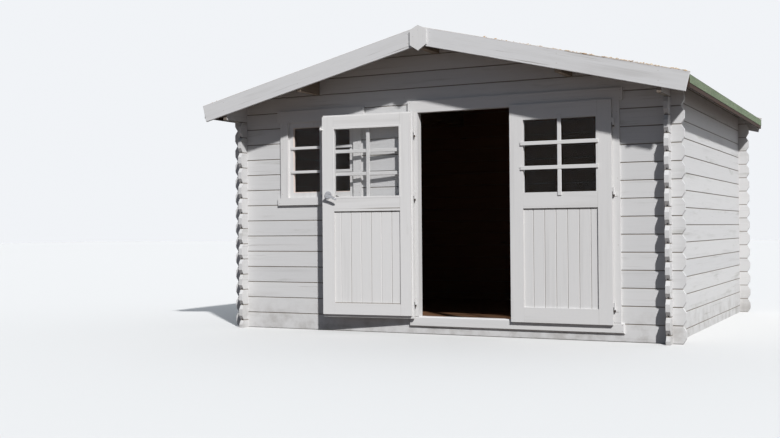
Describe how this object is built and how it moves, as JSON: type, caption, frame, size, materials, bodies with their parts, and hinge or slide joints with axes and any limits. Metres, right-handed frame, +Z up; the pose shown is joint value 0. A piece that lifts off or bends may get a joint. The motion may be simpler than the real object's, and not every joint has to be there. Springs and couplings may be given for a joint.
{
  "type": "timber garden shed",
  "caption": "Painted timber garden shed of interlocking boards with notched crossing corners, low gable roof with felt, part-glazed double doors that open, and a casement window.",
  "frame": {"origin": "on the ground, in the middle of the whole shed's box, roof overhangs included", "axes": "+X to the right as the doors are faced, along the longest side; +Y from the doors to the back; +Z up"},
  "size_m": [4.344, 3.911, 2.5632],
  "materials": {
    "painted_timber": "light warm-grey paint, brushed on, grain and small knots showing through, weathered",
    "bare_timber": "bare boards, stained brown",
    "brown_timber": "dark brown stain",
    "mineral_felt": "green mineral roofing felt, coarse grit",
    "clear_glass": "clear window glass, slightly dusty",
    "painted_hinges": "painted over with the doors",
    "chromed_lever": "polished, worn"
  },
  "bodies": {
    "shed": {"front_wall_base": "painted_timber", "front_wall_left": "painted_timber", "front_wall_right": "painted_timber", "front_gable": "painted_timber", "back_wall": "painted_timber", "back_gable": "painted_timber", "left_wall": "painted_timber", "right_wall": "painted_timber", "left_wall_plate": "painted_timber", "right_wall_plate": "painted_timber", "front_bargeboard_left": "painted_timber", "front_bargeboard_right": "painted_timber", "back_bargeboard_left": "painted_timber", "back_bargeboard_right": "painted_timber", "front_ridge_plate": "painted_timber", "back_ridge_plate": "painted_timber", "door_frame": "painted_timber", "door_casings": "painted_timber", "door_head_trim": "painted_timber", "door_threshold": "painted_timber", "window_frame": "painted_timber", "window_casings": "painted_timber", "window_trims": "painted_timber", "window_casement": "painted_timber", "floor_bearers": "bare_timber", "floor_boards": "bare_timber", "roof_boards_left": "bare_timber", "roof_boards_right": "bare_timber", "ridge_purlin": "bare_timber", "left_purlin": "bare_timber", "right_purlin": "bare_timber", "eave_fascias": "brown_timber", "roof_felt_left": "mineral_felt", "roof_felt_right": "mineral_felt", "window_glass": "clear_glass", "hinge_pins": "painted_hinges"},
    "left_door": {"left_door_frame": "painted_timber", "left_door_glass": "clear_glass", "left_door_panel": "painted_timber", "left_door_hinges": "painted_hinges", "lever_handles": "chromed_lever"},
    "right_door": {"right_door_frame": "painted_timber", "right_door_glass": "clear_glass", "right_door_panel": "painted_timber", "right_door_hinges": "painted_hinges"}
  },
  "joints": [
    {"name": "left_door_hinge", "type": "hinge", "parent": "shed", "child": "left_door", "pos_m": [-0.1915, -1.6295, 1], "axis": [0, 0, 1], "range_deg": [0, 175]},
    {"name": "right_door_hinge", "type": "hinge", "parent": "shed", "child": "right_door", "pos_m": [1.5215, -1.6295, 1], "axis": [0, 0, 1], "range_deg": [0, 142]}
  ]
}
